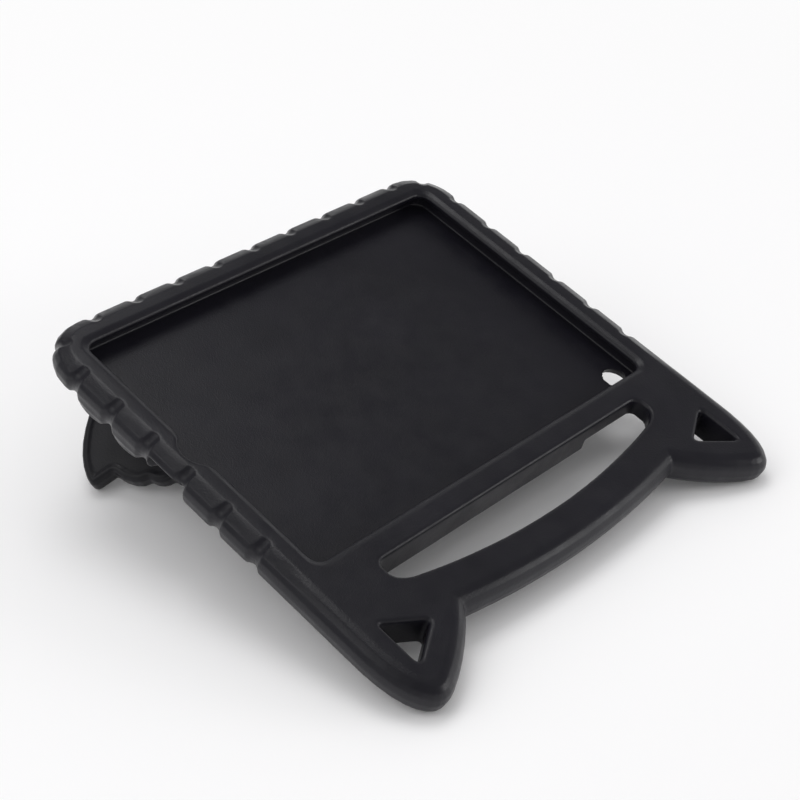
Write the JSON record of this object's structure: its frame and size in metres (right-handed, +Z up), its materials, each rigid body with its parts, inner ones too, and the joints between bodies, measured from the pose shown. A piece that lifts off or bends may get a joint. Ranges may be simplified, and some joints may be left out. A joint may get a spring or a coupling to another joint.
{
  "type": "tablet case with handle and folding stand",
  "caption": "Child's moulded foam tablet case with a carrying handle, ear-shaped corners and folding wing legs that prop it up.",
  "frame": {"origin": "middle of the bounding box at floor level, as the case stands open on its ears and wing tips", "axes": "+X along the long side, from the charging port side to the other short side; +Y towards the raised top side, away from the handle; +Z up"},
  "size_m": [0.268, 0.2644, 0.0912],
  "materials": {
    "case_foam": "soft satin black moulded EVA foam",
    "wing_foam": "soft satin black moulded EVA foam",
    "pin_steel": "plain turned steel"
  },
  "bodies": {
    "case": {"case_body": "case_foam", "hinge_pin_left": "pin_steel", "hinge_pin_right": "pin_steel"},
    "wing_left": {"stand_wing_left": "wing_foam"},
    "wing_right": {"stand_wing_right": "wing_foam"}
  },
  "joints": [
    {"name": "wing_left_fold", "type": "hinge", "parent": "case", "child": "wing_left", "pos_m": [-0.022, 0.02792, 0.04158], "axis": [0, -0.9532, -0.3024], "range_deg": [-32.2, 20]},
    {"name": "wing_right_fold", "type": "hinge", "parent": "case", "child": "wing_right", "pos_m": [0.022, 0.02792, 0.04158], "axis": [0, 0.9532, 0.3024], "range_deg": [-32.2, 20]}
  ]
}
